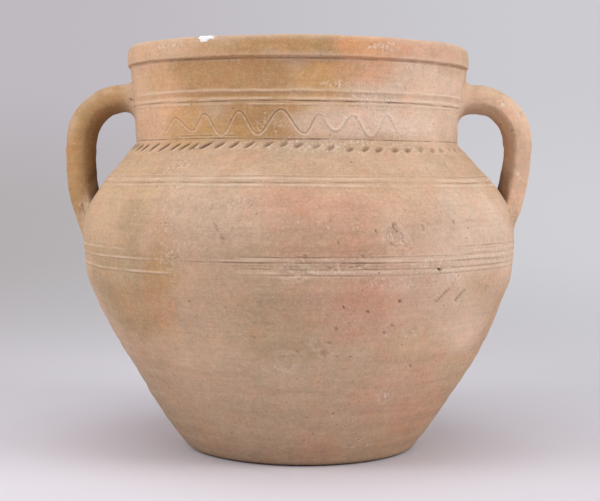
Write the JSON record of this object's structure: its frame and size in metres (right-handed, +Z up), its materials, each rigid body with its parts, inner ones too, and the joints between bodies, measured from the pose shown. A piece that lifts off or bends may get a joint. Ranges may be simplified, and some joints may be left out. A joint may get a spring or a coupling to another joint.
{
  "type": "two-handled storage jar",
  "caption": "Wide-mouthed terracotta storage jar with strap handles, an overhanging rim, turned grooves and a flat foot.",
  "frame": {"origin": "centre of the underside of the base", "axes": "+Z up along the axis of the jar, +X through the right handle, -Y towards the front"},
  "size_m": [0.421, 0.3852, 0.355],
  "materials": {
    "terracotta": "matte, unglazed",
    "plaster": "matte"
  },
  "bodies": {
    "root": {"base_dish": "terracotta", "lower_wall": "terracotta", "shoulder_wall": "terracotta", "neck_collar": "terracotta", "rim_ring": "terracotta", "left_handle": "terracotta", "right_handle": "terracotta", "left_neck_luting": "terracotta", "right_neck_luting": "terracotta", "left_shoulder_luting": "terracotta", "right_shoulder_luting": "terracotta", "rim_chip_fill": "plaster"}
  },
  "joints": []
}
